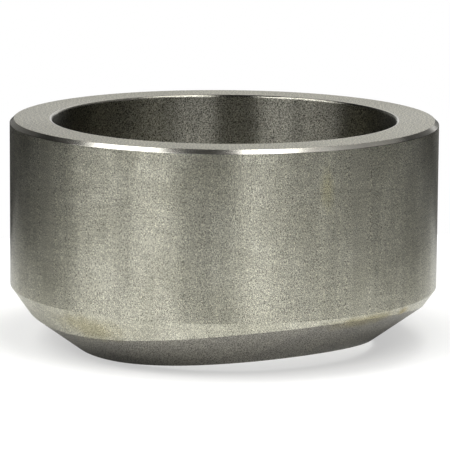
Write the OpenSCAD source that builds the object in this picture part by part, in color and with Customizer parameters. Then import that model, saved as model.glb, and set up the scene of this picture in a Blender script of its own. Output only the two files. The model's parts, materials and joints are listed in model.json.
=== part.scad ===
// Branch outlet fitting: a short turned collar that is welded onto the side of a run pipe
// and takes a smaller branch pipe in a socket at its upper end.
//
// The origin is the crotch point, where the branch axis meets the run pipe's surface.
// +Z runs up the branch axis out of the socket, and +X runs along the run pipe.

/* [Body] */
// Outside diameter of the body
body_d = 76.2; // [72:0.1:90]
// Height of the outlet face above the run pipe, on the branch axis
outlet_height = 38.1; // [34:0.1:50]
// Chamfer round the outer edge of the outlet face
rim_chamfer = 0.7; // [0.2:0.1:2]

/* [Socket] */
// Outside diameter of the branch pipe that the socket takes
branch_pipe_d = 60.3; // [57:0.1:63]
// Difference in diameter between the socket and the branch pipe
socket_clearance = 0.8; // [0.4:0.1:1.2]
// Depth of the socket, from the outlet face to the shoulder
socket_depth = 16; // [10:0.5:22]
// Edge break at the mouth of the socket
mouth_break = 0.3; // [0.1:0.1:1]
// Radius that the turning tool leaves in the corner above the shoulder
corner_radius = 0.8; // [0.2:0.1:1.5]

/* [Flow bore] */
// Diameter of the passage from the shoulder to the run pipe
flow_bore_d = 52.5; // [46:0.1:54]

/* [Foot] */
// Outside diameter of the run pipe that the saddle fits
run_pipe_d = 355.6; // [219.1:0.1:610]
// Height above the crotch point at which the turned bevel leaves the plain cylinder
turned_bevel_z = 8.5; // [6:0.1:12]
// Slope of the turned bevel, measured from the branch axis
turned_bevel_angle = 35; // [20:1:45]
// Slope of the weld bevel, measured up from the horizontal
weld_bevel_angle = 36; // [30:0.5:45]
// Width of the root land, from the flow bore out to the weld bevel
root_land = 0.8; // [0.4:0.1:2.4]

/* [Hidden] */
$fn = 180;

steel = [0.66, 0.65, 0.61];

// How far a cutting solid runs past the surface that it cuts
overrun = 1;
// Number of straight rulings in the weld bevel
rulings = 180;

body_r = body_d / 2;
socket_r = (branch_pipe_d + socket_clearance) / 2;
flow_bore_r = flow_bore_d / 2;
land_r = flow_bore_r + root_land;
run_pipe_r = run_pipe_d / 2;

shoulder_z = outlet_height - socket_depth;

// Height of the saddle at a radius from the branch axis and an angle from the run pipe's axis
function saddle_z(radius, angle) = sqrt(pow(run_pipe_r, 2) - pow(radius * sin(angle), 2)) - run_pipe_r;

// The blank reaches below the lowest point of both legs, where the saddle is then cut
blank_bottom_z = saddle_z(body_r, 90) - overrun;
blank_bottom_r = body_r - (turned_bevel_z - blank_bottom_z) * tan(turned_bevel_angle);

// Outside of the lathe-turned blank: foot cone, plain cylinder and chamfered rim
module turned_blank() {
    rotate_extrude()
        polygon([
            [0, blank_bottom_z],
            [blank_bottom_r, blank_bottom_z],
            [body_r, turned_bevel_z],
            [body_r, outlet_height - rim_chamfer],
            [body_r - rim_chamfer, outlet_height],
            [0, outlet_height]
        ]);
}

// Socket with its broken mouth edge and rounded corner, as a solid to be cut away
module socket_void() {
    translate([0, 0, shoulder_z + corner_radius])
        cylinder(r = socket_r, h = socket_depth - corner_radius + overrun);
    translate([0, 0, outlet_height - mouth_break])
        cylinder(r1 = socket_r, r2 = socket_r + mouth_break + overrun, h = mouth_break + overrun);
    rotate_extrude() {
        translate([socket_r - corner_radius, shoulder_z + corner_radius])
            circle(r = corner_radius);
        translate([0, shoulder_z])
            square([socket_r - corner_radius, 2 * corner_radius]);
    }
}

// Flow bore, as a solid to be cut away
module flow_bore_void() {
    translate([0, 0, blank_bottom_z - overrun])
        cylinder(r = flow_bore_r, h = shoulder_z - blank_bottom_z + 2 * overrun);
}

// Stretch of the run pipe that lies under the foot
module run_pipe() {
    translate([0, 0, -run_pipe_r])
        rotate([0, 90, 0])
            cylinder(r = run_pipe_r, h = body_d + 2 * overrun, center = true);
}

// Cross-section of the weld bevel's cutter at one angle, as [radius, height] corners
function bevel_section(angle) =
    let (
        slope = tan(weld_bevel_angle),
        land_z = saddle_z(land_r, angle),
        inner_r = land_r - overrun,
        outer_r = body_r + overrun,
        bottom_z = blank_bottom_z - outer_r * slope
    ) [
        [inner_r, land_z + (inner_r - land_r) * slope],
        [outer_r, land_z + (outer_r - land_r) * slope],
        [outer_r, bottom_z],
        [inner_r, bottom_z]
    ];

// Ring below the weld bevel: its upper face is ruled from the land's edge, which follows
// the saddle, outwards at one slope
module weld_bevel_void() {
    corners = len(bevel_section(0));
    points = [
        for (i = [0 : rulings - 1], corner = bevel_section(360 * i / rulings))
            let (angle = 360 * i / rulings)
                [corner[0] * cos(angle), corner[0] * sin(angle), corner[1]]
    ];
    function at(i, k) = (i % rulings) * corners + k % corners;
    faces = [
        for (i = [0 : rulings - 1], k = [0 : corners - 1], half = [0, 1])
            half == 0
                ? [at(i, k), at(i + 1, k), at(i + 1, k + 1)]
                : [at(i, k), at(i + 1, k + 1), at(i, k + 1)]
    ];
    polyhedron(points, faces);
}

// The whole fitting, one solid
module outlet_body() {
    color(steel)
        difference() {
            turned_blank();
            socket_void();
            flow_bore_void();
            run_pipe();
            weld_bevel_void();
        }
}

outlet_body();
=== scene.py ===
import json
import math

import bpy
from mathutils import Matrix, Vector


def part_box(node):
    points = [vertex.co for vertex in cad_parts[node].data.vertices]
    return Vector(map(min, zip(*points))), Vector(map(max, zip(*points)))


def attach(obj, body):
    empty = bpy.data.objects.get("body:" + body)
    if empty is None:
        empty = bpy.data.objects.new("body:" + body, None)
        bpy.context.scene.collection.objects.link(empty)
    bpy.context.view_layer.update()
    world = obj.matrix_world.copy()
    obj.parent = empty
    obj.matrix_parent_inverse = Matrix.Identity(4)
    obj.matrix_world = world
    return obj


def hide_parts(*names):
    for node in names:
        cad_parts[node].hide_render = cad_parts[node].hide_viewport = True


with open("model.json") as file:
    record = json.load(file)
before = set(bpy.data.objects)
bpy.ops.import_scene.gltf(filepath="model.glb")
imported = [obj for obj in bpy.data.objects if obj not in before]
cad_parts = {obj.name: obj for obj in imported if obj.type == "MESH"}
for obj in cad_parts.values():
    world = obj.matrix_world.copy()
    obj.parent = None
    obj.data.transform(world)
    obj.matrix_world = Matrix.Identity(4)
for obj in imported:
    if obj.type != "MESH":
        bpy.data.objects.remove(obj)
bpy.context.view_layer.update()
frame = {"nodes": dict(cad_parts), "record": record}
mm = 0.001  # the frame is in metres, the sizes below are in millimetres
print("frame loaded, nodes:", sorted(frame["nodes"]))


def mountNamed(name):
    return next(mount for mount in frame["record"]["mounts"] if mount["name"] == name)


def hexLinear(code):
    # sRGB hex to the linear numbers that the shader sockets take
    parts = [int(code[i:i + 2], 16) / 255 for i in (1, 3, 5)]
    return [p / 12.92 if p <= 0.04045 else ((p + 0.055) / 1.055) ** 2.4 for p in parts] + [1.0]


def addNode(tree, kind, inputs=None, **settings):
    # inputs: socket name or number -> an output socket to link, or a value to set
    node = tree.nodes.new(kind)
    for name, value in settings.items():
        setattr(node, name, value)
    for key, value in (inputs or {}).items():
        if isinstance(value, bpy.types.NodeSocket):
            tree.links.new(value, node.inputs[key])
        else:
            node.inputs[key].default_value = value
    return node


def emptyMaterial(name):
    material = bpy.data.materials.new(name)
    material.use_nodes = True
    material.node_tree.nodes.clear()
    return material


# Stainless steel bar, turned on a lathe and pickled: a satin grey with a warm cast.
# The tool leaves rings round the axis, so lights smear into streaks across them.
# The acid leaves a fine grain, faint runs down the wall and a few straw-coloured stains.
turnedSteel = {
    "light": "#cac8b9",
    "dark": "#bfbdad",
    "roughness": 0.34,
    "roughnessSpread": 0.02,  # the tool lines vary it this far up and down
    "anisotropy": 1.0,
    "linesAcross": "height",  # the tool lines follow each other up the height, or out along the radius
    "linePitch": 0.55,  # mm, the feed is nearer 0.15 but that is finer than a pixel
    "lineLength": 5.0,  # mm
    "lineHeight": 0.0008,  # mm
    "lineTone": 0.08,  # share by which the lines lighten and darken the steel, as for grain and runs
    "grain": 0.14,  # mm, the etched grain is nearer 0.05 and is drawn coarser to show
    "grainTone": 0.8,
    "runWidth": 2.2,  # mm
    "runLength": 22.0,  # mm
    "runTone": 0.1,
    "mottle": 9.0,  # mm
    "mottleSpan": (0.35, 0.65),  # noise values that give the dark and the light colour
    "noiseSpan": (0.3, 0.7),  # noise values that give the two ends of the other patterns
}
# The outlet face, faced off in the same chuck: rings again, duller, and no runs
facedSteel = dict(turnedSteel, light="#a6a393", dark="#9c9989", roughness=0.39, anisotropy=0.35,
                  linesAcross="radius", lineLength=12.0, grain=0.3, grainTone=0.9, runTone=0.0, mottle=14.0)
# The small cut edges, one pass of a sharp tool: nearly bright
cutEdgeSteel = dict(turnedSteel, light="#c6c4bb", dark="#bbb8ae", roughness=0.2, anisotropy=0.3,
                    lineHeight=0.0, lineTone=0.0, runTone=0.0, grainTone=0.08)
# The edge of the socket's mouth: like the cut edges but darker, with painted shade so that the ends of the
# mouth don't light up
filedEdgeSteel = dict(cutEdgeSteel, light="#a09e92", dark="#969388")
# The bore, turned with a fine feed: sharp upright streaks, and a darker colour that is painted shade from
# its own walls
boredSteel = dict(turnedSteel, light="#a8a69b", dark="#9d9b91", roughness=0.31, lineHeight=0.0002,
                  lineTone=0.03, runTone=0.03, grain=0.2, grainTone=0.9)
# The weld bevel and saddle, milled, with short cutter marks and no run of light along them; their darker
# colour is partly painted shade, for the shadow under the foot that they face
milledSteel = dict(turnedSteel, light="#a29f94", dark="#95928a", roughness=0.34, anisotropy=0.3,
                   linePitch=0.8, runTone=0.03, grain=0.2, grainTone=0.9)
# Straw-coloured stains, the first of them partly painted shade: degrees round from +X, then height and half
# sizes in mm
stains = [
    # partly a real stain and partly painted shade that darkens the left of the turned bevel
    {"angle": -77.0, "height": 5.6, "wide": 9.0, "tall": 3.0, "colour": "#ada57f", "strength": 0.6},
    {"angle": -10.0, "height": 31.0, "wide": 1.5, "tall": 4.5, "colour": "#cfc9a0", "strength": 0.55},
    {"angle": 19.5, "height": 7.3, "wide": 1.8, "tall": 1.2, "colour": "#ab9b66", "strength": 0.8},
    {"angle": 4.0, "height": 7.2, "wide": 9.0, "tall": 1.6, "colour": "#9c936b", "strength": 0.7},
]
stainFade = (0.7, 1.7)  # a stain fades out between these, in half sizes with the noise of the runs added


def steelNoises(tree, place, finish):
    xyz = addNode(tree, "ShaderNodeSeparateXYZ", {0: place}).outputs
    flat = addNode(tree, "ShaderNodeCombineXYZ", {"X": xyz["X"], "Y": xyz["Y"]}).outputs[0]
    radius = addNode(tree, "ShaderNodeVectorMath", {0: flat}, operation="LENGTH").outputs["Value"]
    across = radius if finish["linesAcross"] == "radius" else xyz["Z"]
    # tool lines: quick across the rings, slow along them
    slow = addNode(tree, "ShaderNodeVectorMath", {0: flat, "Scale": 1 / (finish["lineLength"] * mm)},
                   operation="SCALE").outputs[0]
    quick = addNode(tree, "ShaderNodeMath", {0: across, 1: 1 / (finish["linePitch"] * mm)},
                    operation="MULTIPLY").outputs[0]
    lift = addNode(tree, "ShaderNodeCombineXYZ", {"Z": quick}).outputs[0]
    linePlace = addNode(tree, "ShaderNodeVectorMath", {0: slow, 1: lift}, operation="ADD").outputs[0]
    lines = addNode(tree, "ShaderNodeTexNoise", {"Vector": linePlace, "Scale": 1.0, "Detail": 2.0})
    grain = addNode(tree, "ShaderNodeTexNoise",
                    {"Vector": place, "Scale": 1 / (finish["grain"] * mm), "Detail": 1.0})
    # runs: narrow round the wall, long down it
    narrow = 1 / (finish["runWidth"] * mm)
    long = 1 / (finish["runLength"] * mm)
    runPlace = addNode(tree, "ShaderNodeVectorMath", {0: place, 1: (narrow, narrow, long)},
                       operation="MULTIPLY").outputs[0]
    runs = addNode(tree, "ShaderNodeTexNoise", {"Vector": runPlace, "Scale": 1.0, "Detail": 3.0})
    mottle = addNode(tree, "ShaderNodeTexNoise",
                     {"Vector": place, "Scale": 1 / (finish["mottle"] * mm), "Detail": 4.0,
                      "Roughness": 0.6})
    noises = {"line": lines, "grain": grain, "run": runs, "mottle": mottle}
    return {name: noise.outputs["Fac"] for name, noise in noises.items()}


def stainedColour(tree, place, colour, runs):
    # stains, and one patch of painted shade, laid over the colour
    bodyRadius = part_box("outlet_body")[1].x
    for stain in stains:
        angle = math.radians(stain["angle"])
        centre = (bodyRadius * math.cos(angle), bodyRadius * math.sin(angle), stain["height"] * mm)
        wide = 1 / (stain["wide"] * mm)
        tall = 1 / (stain["tall"] * mm)
        offset = addNode(tree, "ShaderNodeVectorMath", {0: place, 1: centre},
                         operation="SUBTRACT").outputs[0]
        halves = addNode(tree, "ShaderNodeVectorMath", {0: offset, 1: (wide, wide, tall)},
                         operation="MULTIPLY").outputs[0]
        away = addNode(tree, "ShaderNodeVectorMath", {0: halves}, operation="LENGTH").outputs["Value"]
        ragged = addNode(tree, "ShaderNodeMath", {0: runs, 1: away}, operation="ADD").outputs[0]
        cover = addNode(tree, "ShaderNodeMapRange",
                        {"Value": ragged, "From Min": stainFade[0], "From Max": stainFade[1],
                         "To Min": stain["strength"], "To Max": 0.0},
                        interpolation_type="SMOOTHSTEP").outputs[0]
        colour = addNode(tree, "ShaderNodeMix", {0: cover, 6: colour, 7: hexLinear(stain["colour"])},
                         data_type="RGBA").outputs[2]
    return colour


def steelMaterial(name, finish):
    material = emptyMaterial(name)
    tree = material.node_tree
    place = addNode(tree, "ShaderNodeTexCoord").outputs["Object"]
    noises = steelNoises(tree, place, finish)
    darkEnd, lightEnd = finish["mottleSpan"]
    patches = addNode(tree, "ShaderNodeMapRange",
                      {"Value": noises["mottle"], "From Min": darkEnd, "From Max": lightEnd}).outputs[0]
    # sockets 6 and 7 are the two colours of a colour mix, and output 2 is what it gives
    colour = addNode(tree, "ShaderNodeMix",
                     {0: patches, 6: hexLinear(finish["dark"]), 7: hexLinear(finish["light"])},
                     data_type="RGBA").outputs[2]
    colour = stainedColour(tree, place, colour, noises["run"])
    low, high = finish["noiseSpan"]
    for pattern in ("grain", "line", "run"):
        tone = finish[pattern + "Tone"]
        if tone:
            shade = addNode(tree, "ShaderNodeMapRange",
                            {"Value": noises[pattern], "From Min": low, "From Max": high,
                             "To Min": 1 - tone, "To Max": 1 + tone}).outputs[0]
            colour = addNode(tree, "ShaderNodeVectorMath", {0: colour, "Scale": shade},
                             operation="SCALE").outputs[0]
    smooth = finish["roughness"] - finish["roughnessSpread"]
    coarse = finish["roughness"] + finish["roughnessSpread"]
    rough = addNode(tree, "ShaderNodeMapRange",
                    {"Value": noises["line"], "From Min": low, "From Max": high,
                     "To Min": smooth, "To Max": coarse}).outputs[0]
    bump = addNode(tree, "ShaderNodeBump",
                   {"Height": noises["line"], "Strength": 1.0,
                    "Distance": finish["lineHeight"] * mm}).outputs[0]
    ring = addNode(tree, "ShaderNodeTangent", direction_type="RADIAL", axis="Z").outputs[0]
    # the turn of a quarter lays the smear across the rings
    steel = addNode(tree, "ShaderNodeBsdfPrincipled",
                    {"Base Color": colour, "Metallic": 1.0, "Roughness": rough,
                     "Anisotropic": finish["anisotropy"], "Anisotropic Rotation": 0.25,
                     "Tangent": ring, "Normal": bump}).outputs[0]
    addNode(tree, "ShaderNodeOutputMaterial", {"Surface": steel})
    return material


finishes = {
    "turned_stainless_steel": turnedSteel,
    "faced_stainless_steel": facedSteel,
    "cut_edge_stainless_steel": cutEdgeSteel,
    "filed_edge_stainless_steel": filedEdgeSteel,
    "bored_stainless_steel": boredSteel,
    "milled_stainless_steel": milledSteel,
}
materials = {name: steelMaterial(name, finish) for name, finish in finishes.items()}
print("materials:", ", ".join(materials))

# The fitting itself: sizes in mm that the mounts don't give
outlet = {
    "rimChamfer": 0.7,
    "mouthBreak": 0.3,
    "cornerRadius": 0.8,
    "turnedBevelZ": 8.5,
    "turnedBevelAngle": 35.0,  # degrees from the branch axis
    "weldBevelAngle": 36.0,  # degrees up from the run pipe
    "rootLand": 0.8,
    "runPipeRadius": 355.6 / 2,
    "edgeSoftness": 0.12,  # radius left on a deburred edge
    "mouthSoftness": 0.45,
    "edgeReach": 0.45,  # an eased edge takes up no more than this share of the stretch beside it
    "edgeSteps": 4,
    "segments": 360,
}


def saddleZ(radius, angle):
    sideways = radius * math.sin(angle)
    return math.sqrt(outlet["runPipeRadius"] ** 2 - sideways ** 2) - outlet["runPipeRadius"]


def softened(corners, steps):
    # each corner is (r, z, radius), and becomes a short curve of steps + 1 points
    points = []
    for k, (r, z, radius) in enumerate(corners):
        here = Vector((r, z))
        back = Vector(corners[k - 1][:2]) - here
        ahead = Vector(corners[(k + 1) % len(corners)][:2]) - here
        half = back.angle(ahead) / 2
        longest = outlet["edgeReach"] * min(back.length, ahead.length)
        reach = min(radius / math.tan(half), longest)
        start = here + back.normalized() * reach
        end = here + ahead.normalized() * reach
        for i in range(steps + 1):
            t = i / steps
            points.append((1 - t) ** 2 * start + 2 * t * (1 - t) * here + t ** 2 * end)
    return points


def outletSection(angle):
    # corners of the wall's section at one angle from the run pipe, outside first and counter-clockwise
    soft = outlet["edgeSoftness"]
    mouthSoft = outlet["mouthSoftness"]
    mouthBreak = outlet["mouthBreak"]
    rimChamfer = outlet["rimChamfer"]
    turnedZ = outlet["turnedBevelZ"]
    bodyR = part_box("outlet_body")[1].x / mm
    top = mountNamed("outlet_face")["pos_m"][2] / mm
    socketR = mountNamed("socket")["dims"]["r_mm"]
    boreR = mountNamed("flow_bore")["dims"]["r_mm"]
    shoulder = top - mountNamed("socket")["dims"]["length_mm"] - mouthBreak - outlet["cornerRadius"]
    landR = boreR + outlet["rootLand"]
    landZ = saddleZ(landR, angle)
    # where the weld bevel meets the turned bevel
    weldSlope = math.tan(math.radians(outlet["weldBevelAngle"]))
    turnedRun = math.tan(math.radians(outlet["turnedBevelAngle"]))
    turnedFootR = bodyR - turnedRun * turnedZ  # the turned bevel's radius at the height of the crotch point
    meetZ = (landZ + (turnedFootR - landR) * weldSlope) / (1 - turnedRun * weldSlope)
    meetR = turnedFootR + meetZ * turnedRun
    return [
        (landR, landZ, soft),
        (meetR, meetZ, soft),
        (bodyR, turnedZ, soft),
        (bodyR, top - rimChamfer, soft),
        (bodyR - rimChamfer, top, soft),
        (socketR + mouthBreak, top, mouthSoft),
        (socketR, top - mouthBreak, mouthSoft),
        (socketR, shoulder, outlet["cornerRadius"]),
        (boreR, shoulder, soft),
        (boreR, saddleZ(boreR, angle), soft),
    ]


# finish of the stretch that follows each corner of the section
sectionFinishes = ["milled", "turned", "turned", "cut_edge", "faced",
                   "filed_edge", "bored", "faced", "bored", "milled"]


def outletMesh():
    count, steps = outlet["segments"], outlet["edgeSteps"]
    names = list(materials)
    points = []
    for i in range(count):
        angle = 2 * math.pi * i / count
        section = softened(outletSection(angle), steps)
        points += [(p.x * mm * math.cos(angle), p.x * mm * math.sin(angle), p.y * mm) for p in section]
    width = len(points) // count
    faces, slots = [], []
    for i in range(count):
        here, beside = i * width, (i + 1) % count * width
        for k in range(width):
            after = (k + 1) % width
            faces.append((here + k, beside + k, beside + after, here + after))
            slots.append(names.index(sectionFinishes[k // (steps + 1)] + "_stainless_steel"))
    mesh = bpy.data.meshes.new("outlet_fitting")
    mesh.from_pydata(points, [], faces)
    for name in names:
        mesh.materials.append(materials[name])
    mesh.polygons.foreach_set("material_index", slots)
    mesh.polygons.foreach_set("use_smooth", [True] * len(faces))
    mesh.update()
    return mesh


fitting = bpy.data.objects.new("outlet_fitting", outletMesh())
bpy.context.scene.collection.objects.link(fitting)
fitting.modifiers.new("flat faces stay flat", "WEIGHTED_NORMAL").keep_sharp = False
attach(fitting, "root")
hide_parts("outlet_body")
print("fitting:", len(fitting.data.polygons), "faces")

# Camera: the run pipe's axis points to the front right of the view
cameraSpot = {
    "azimuth": 52.96,  # degrees, 0 looks along +Y
    "distance": 587.8,  # mm from the branch axis
    "height": 121.69,  # mm above the crotch point
    "pitch": 9.93,  # degrees down
    "roll": 0.40,
    "yaw": -0.023,
    "lens": 267.16,  # mm
    "sensor": 36.0,  # mm
}


def fromCamera(right, front, up):
    # a point in mm as seen from the camera: to the right, towards the camera, and up from the origin
    azimuth = math.radians(cameraSpot["azimuth"])
    x = right * math.cos(azimuth) + front * math.sin(azimuth)
    y = right * math.sin(azimuth) - front * math.cos(azimuth)
    return Vector((x, y, up)) * mm


cameraData = bpy.data.cameras.new("camera")
cameraData.sensor_width = cameraSpot["sensor"]
cameraData.lens = cameraSpot["lens"]
camera = bpy.data.objects.new("camera", cameraData)
bpy.context.scene.collection.objects.link(camera)
turn = Matrix.Rotation(math.radians(cameraSpot["azimuth"] + cameraSpot["yaw"]), 4, "Z")
tip = Matrix.Rotation(math.radians(90 - cameraSpot["pitch"]), 4, "X")
roll = Matrix.Rotation(math.radians(cameraSpot["roll"]), 4, "Z")
camera.matrix_world = (Matrix.Translation(fromCamera(0, cameraSpot["distance"], cameraSpot["height"]))
                       @ turn @ tip @ roll)
bpy.context.scene.camera = camera
print("camera placed")

# Studio, in mm: a white sheet on a dark bench, in a dark room with ceiling panels and a white backdrop.
# The bench, room, flags and shade card are there for the reflections alone: the camera's view and the
# light of the panels pass through them.
studio = {
    "floorZ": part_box("outlet_body")[0].z / mm,
    "sheetRadius": 115.0,
    "sheetRight": 10.0,  # the sheet lies this far to the right of the branch axis
    "sheetPoints": 96,
    "sheetColour": "#b0b0ae",
    "sheetGlow": 0.7,  # lifts the sheet to white
    "glowLeft": 3.0,  # the painted shadow under the foot lies this far to the left of the branch axis
    "glowBack": 8.0,  # and this far behind it,
    "glowStretch": 1.08,  # it is this much wider from side to side than from front to back,
    "glowStart": 32.0,  # and the glow comes up between these two distances from there
    "glowFull": 47.0,
    "shadowGlow": 0.5,  # what is left of the glow under the foot, a painted shadow kept light on the sheet
    "shadeGlow": 0.07,  # and what is left of it on the shade card, a dark painted shadow that the bevels reflect
    "shadeLift": 0.05,  # the shade card lies this far above the sheet
    "benchDrop": 1.0,  # and the bench this far below it
    "benchColour": "#2c2c2b",
    "roomColour": "#4c4c4a",
    "backWallColour": "#c4c4c2",
    "flagColour": "#e8e8e6",
    "flagLeft": 67.0,  # low flags stand this far out on the two sides, to darken the edges of the wall
    "flagRight": 72.0,
    "flagHeight": 11.0,
    "flagBack": -60.0,
    "flagLeftTip": 44.0,  # each flag's front end slopes from its tip on the bench up to its top corner
    "flagLeftTop": 0.0,
    "flagRightTip": 85.0,
    "flagRightTop": 38.0,
    "roomHalf": 1600.0,
    "roomHeight": 1300.0,
    "backdropLeft": -225.0,  # the white backdrop shows between these two, on the back wall
    "backdropRight": 760.0,
    "backdropHeight": 1200.0,
    "skirtLeft": 200.0,  # a grey skirt hides the foot of the backdrop between these two
    "skirtRight": 620.0,
    "skirtHeight": 270.0,
    "fill": 0.15,  # even light from all round, for the floor's shadow
}


def backgroundRays(tree):
    # 1 for what the eye sees, straight or by way of metal or glass, and 0 for what lights the scene
    rays = addNode(tree, "ShaderNodeLightPath").outputs
    seen = addNode(tree, "ShaderNodeMath", {0: rays["Is Camera Ray"], 1: rays["Is Glossy Ray"]},
                   operation="MAXIMUM").outputs[0]
    return addNode(tree, "ShaderNodeMath", {0: seen, 1: rays["Is Transmission Ray"]},
                   operation="MAXIMUM").outputs[0]


def mattMaterial(name, colour):
    material = emptyMaterial(name)
    tree = material.node_tree
    surface = addNode(tree, "ShaderNodeBsdfDiffuse", {"Color": hexLinear(colour)}).outputs[0]
    addNode(tree, "ShaderNodeOutputMaterial", {"Surface": surface})
    return material


def glowingPaper(name, glowUnder):
    # matt paper with a glow that falls to glowUnder in an oval under the foot: a painted shadow
    material = emptyMaterial(name)
    tree = material.node_tree
    paper = addNode(tree, "ShaderNodeBsdfDiffuse", {"Color": hexLinear(studio["sheetColour"])}).outputs[0]
    place = addNode(tree, "ShaderNodeTexCoord").outputs["Object"]
    middle = fromCamera(-studio["glowLeft"], -studio["glowBack"], studio["floorZ"])
    azimuth = math.radians(cameraSpot["azimuth"])
    oval = addNode(tree, "ShaderNodeMapping",
                   {"Vector": place, "Location": middle, "Rotation": (0, 0, azimuth),
                    "Scale": (studio["glowStretch"], 1, 1)}, vector_type="TEXTURE").outputs[0]
    away = addNode(tree, "ShaderNodeVectorMath", {0: oval}, operation="LENGTH").outputs["Value"]
    ramp = addNode(tree, "ShaderNodeMapRange",
                   {"Value": away, "From Min": studio["glowStart"] * mm, "From Max": studio["glowFull"] * mm,
                    "To Min": glowUnder, "To Max": studio["sheetGlow"]},
                   interpolation_type="SMOOTHSTEP").outputs[0]
    strength = addNode(tree, "ShaderNodeMath", {0: backgroundRays(tree), 1: ramp},
                       operation="MULTIPLY").outputs[0]
    glow = addNode(tree, "ShaderNodeEmission", {"Strength": strength}).outputs[0]
    surface = addNode(tree, "ShaderNodeAddShader", {0: paper, 1: glow}).outputs[0]
    addNode(tree, "ShaderNodeOutputMaterial", {"Surface": surface})
    return material


def stagePiece(name, corners, material):
    mesh = bpy.data.meshes.new(name)
    mesh.from_pydata([tuple(fromCamera(*corner)) for corner in corners], [], [list(range(len(corners)))])
    mesh.materials.append(material)
    piece = bpy.data.objects.new(name, mesh)
    bpy.context.scene.collection.objects.link(piece)
    return piece


def reflectionCard(name, corners, material):
    card = stagePiece(name, corners, material)
    card.visible_camera = False
    card.visible_diffuse = False
    card.visible_shadow = False


def buildSheet():
    count, radius, floorZ = studio["sheetPoints"], studio["sheetRadius"], studio["floorZ"]
    shadeZ = floorZ + studio["shadeLift"]
    angles = [2 * math.pi * i / count for i in range(count)]
    circle = [(studio["sheetRight"] + radius * math.cos(a), radius * math.sin(a)) for a in angles]
    # the sheet's glow dips under the foot, a light painted shadow
    stagePiece("white_sheet", [(x, y, floorZ) for x, y in circle],
               glowingPaper("matt_white_paper", studio["shadowGlow"]))
    # the shade card: a painted shadow under the foot, seen only in the bevels' reflections
    reflectionCard("shade_card", [(x, y, shadeZ) for x, y in circle],
                   glowingPaper("matt_shade_card", studio["shadeGlow"]))


def buildRoom():
    half, high = studio["roomHalf"], studio["roomHeight"]
    low = studio["floorZ"] - studio["benchDrop"]
    bench = mattMaterial("matt_dark_bench", studio["benchColour"])
    darkPaint = mattMaterial("matt_dark_paint", studio["roomColour"])
    square = [(-half, half), (-half, -half), (half, -half), (half, half)]
    reflectionCard("bench", [(x, y, low) for x, y in square], bench)
    reflectionCard("ceiling", [(x, y, high) for x, y in reversed(square)], darkPaint)
    walls = {
        "wall_front": (-half, half, half, half),
        "wall_left": (-half, -half, -half, half),
        "wall_right": (half, half, half, -half),
    }
    for name, (x0, y0, x1, y1) in walls.items():
        reflectionCard(name, [(x0, y0, low), (x1, y1, low), (x1, y1, high), (x0, y0, high)], darkPaint)
    # the back wall is left open where the white surroundings show as a backdrop
    greyPaint = mattMaterial("matt_grey_paint", studio["backWallColour"])
    left, right = studio["backdropLeft"], studio["backdropRight"]
    backWall = {
        "wall_back_left": (-half, left, low, high),
        "wall_back_right": (right, half, low, high),
        "wall_back_top": (left, right, studio["backdropHeight"], high),
        "wall_back_skirt": (studio["skirtLeft"], studio["skirtRight"], low, studio["skirtHeight"]),
    }
    for name, (x0, x1, z0, z1) in backWall.items():
        reflectionCard(name, [(x0, -half, z0), (x1, -half, z0), (x1, -half, z1), (x0, -half, z1)], greyPaint)


def buildFlags():
    card = mattMaterial("matt_grey_card", studio["flagColour"])
    low = studio["floorZ"] - studio["benchDrop"]
    high = studio["floorZ"] + studio["flagHeight"]
    back = studio["flagBack"]
    for side, x in (("Left", -studio["flagLeft"]), ("Right", studio["flagRight"])):
        tip, top = studio["flag" + side + "Tip"], studio["flag" + side + "Top"]
        corners = [(x, back, low), (x, tip, low), (x, top, high), (x, back, high)]
        reflectionCard("flag_" + side.lower(), corners, card)


# Ceiling panels: middle and size in mm, turn in degrees, and how bright they look (a white sheet is about 1)
panels = {
    "left": {"right": -545, "front": 0, "width": 390, "depth": 800, "turn": 0, "radiance": 4.2},
    "left_front": {"right": -674, "front": 679, "width": 490, "depth": 650, "turn": -30, "radiance": 7.0},
    "left_side": {"right": -1254, "front": 190, "width": 800, "depth": 600, "turn": -63, "radiance": 5.6},
    "right": {"right": 249, "front": 0, "width": 298, "depth": 800, "turn": 0, "radiance": 4.5},
    "right_edge": {"right": 202, "front": 904, "width": 107, "depth": 650, "turn": 9.3, "radiance": 7.1},
    "right_front": {"right": 454, "front": 863, "width": 405, "depth": 650, "turn": 9.3, "radiance": 4.1},
    "far_right": {"right": 760, "front": 350, "width": 700, "depth": 900, "turn": 0, "radiance": 0.75},
    "far_right_back": {"right": 760, "front": -600, "width": 700, "depth": 1000, "turn": 0, "radiance": 0.4},
}
panelHeight = 1000.0  # mm above the crotch point


def ceilingPanel(name, panel):
    lampData = bpy.data.lights.new(name, "AREA")
    lampData.shape = "RECTANGLE"
    lampData.size = panel["width"] * mm
    lampData.size_y = panel["depth"] * mm
    lampData.energy = panel["radiance"] * math.pi * lampData.size * lampData.size_y
    lamp = bpy.data.objects.new(name, lampData)
    lamp.matrix_world = (Matrix.Translation(fromCamera(panel["right"], panel["front"], panelHeight))
                         @ Matrix.Rotation(math.radians(cameraSpot["azimuth"] + panel["turn"]), 4, "Z"))
    bpy.context.scene.collection.objects.link(lamp)


def buildWorld():
    world = bpy.data.worlds.new("white surroundings")
    bpy.context.scene.world = world
    world.use_nodes = True
    tree = world.node_tree
    tree.nodes.clear()
    white = hexLinear("#ffffff")
    dim = addNode(tree, "ShaderNodeBackground", {"Color": white, "Strength": studio["fill"]}).outputs[0]
    bright = addNode(tree, "ShaderNodeBackground", {"Color": white, "Strength": 1.0}).outputs[0]
    mix = addNode(tree, "ShaderNodeMixShader", {0: backgroundRays(tree), 1: dim, 2: bright}).outputs[0]
    addNode(tree, "ShaderNodeOutputWorld", {"Surface": mix})


buildSheet()
buildRoom()
buildFlags()
for panelName, panelSpot in panels.items():
    ceilingPanel("ceiling_panel_" + panelName, panelSpot)
buildWorld()
bpy.context.scene.view_settings.view_transform = "Standard"
print("studio and lights built")
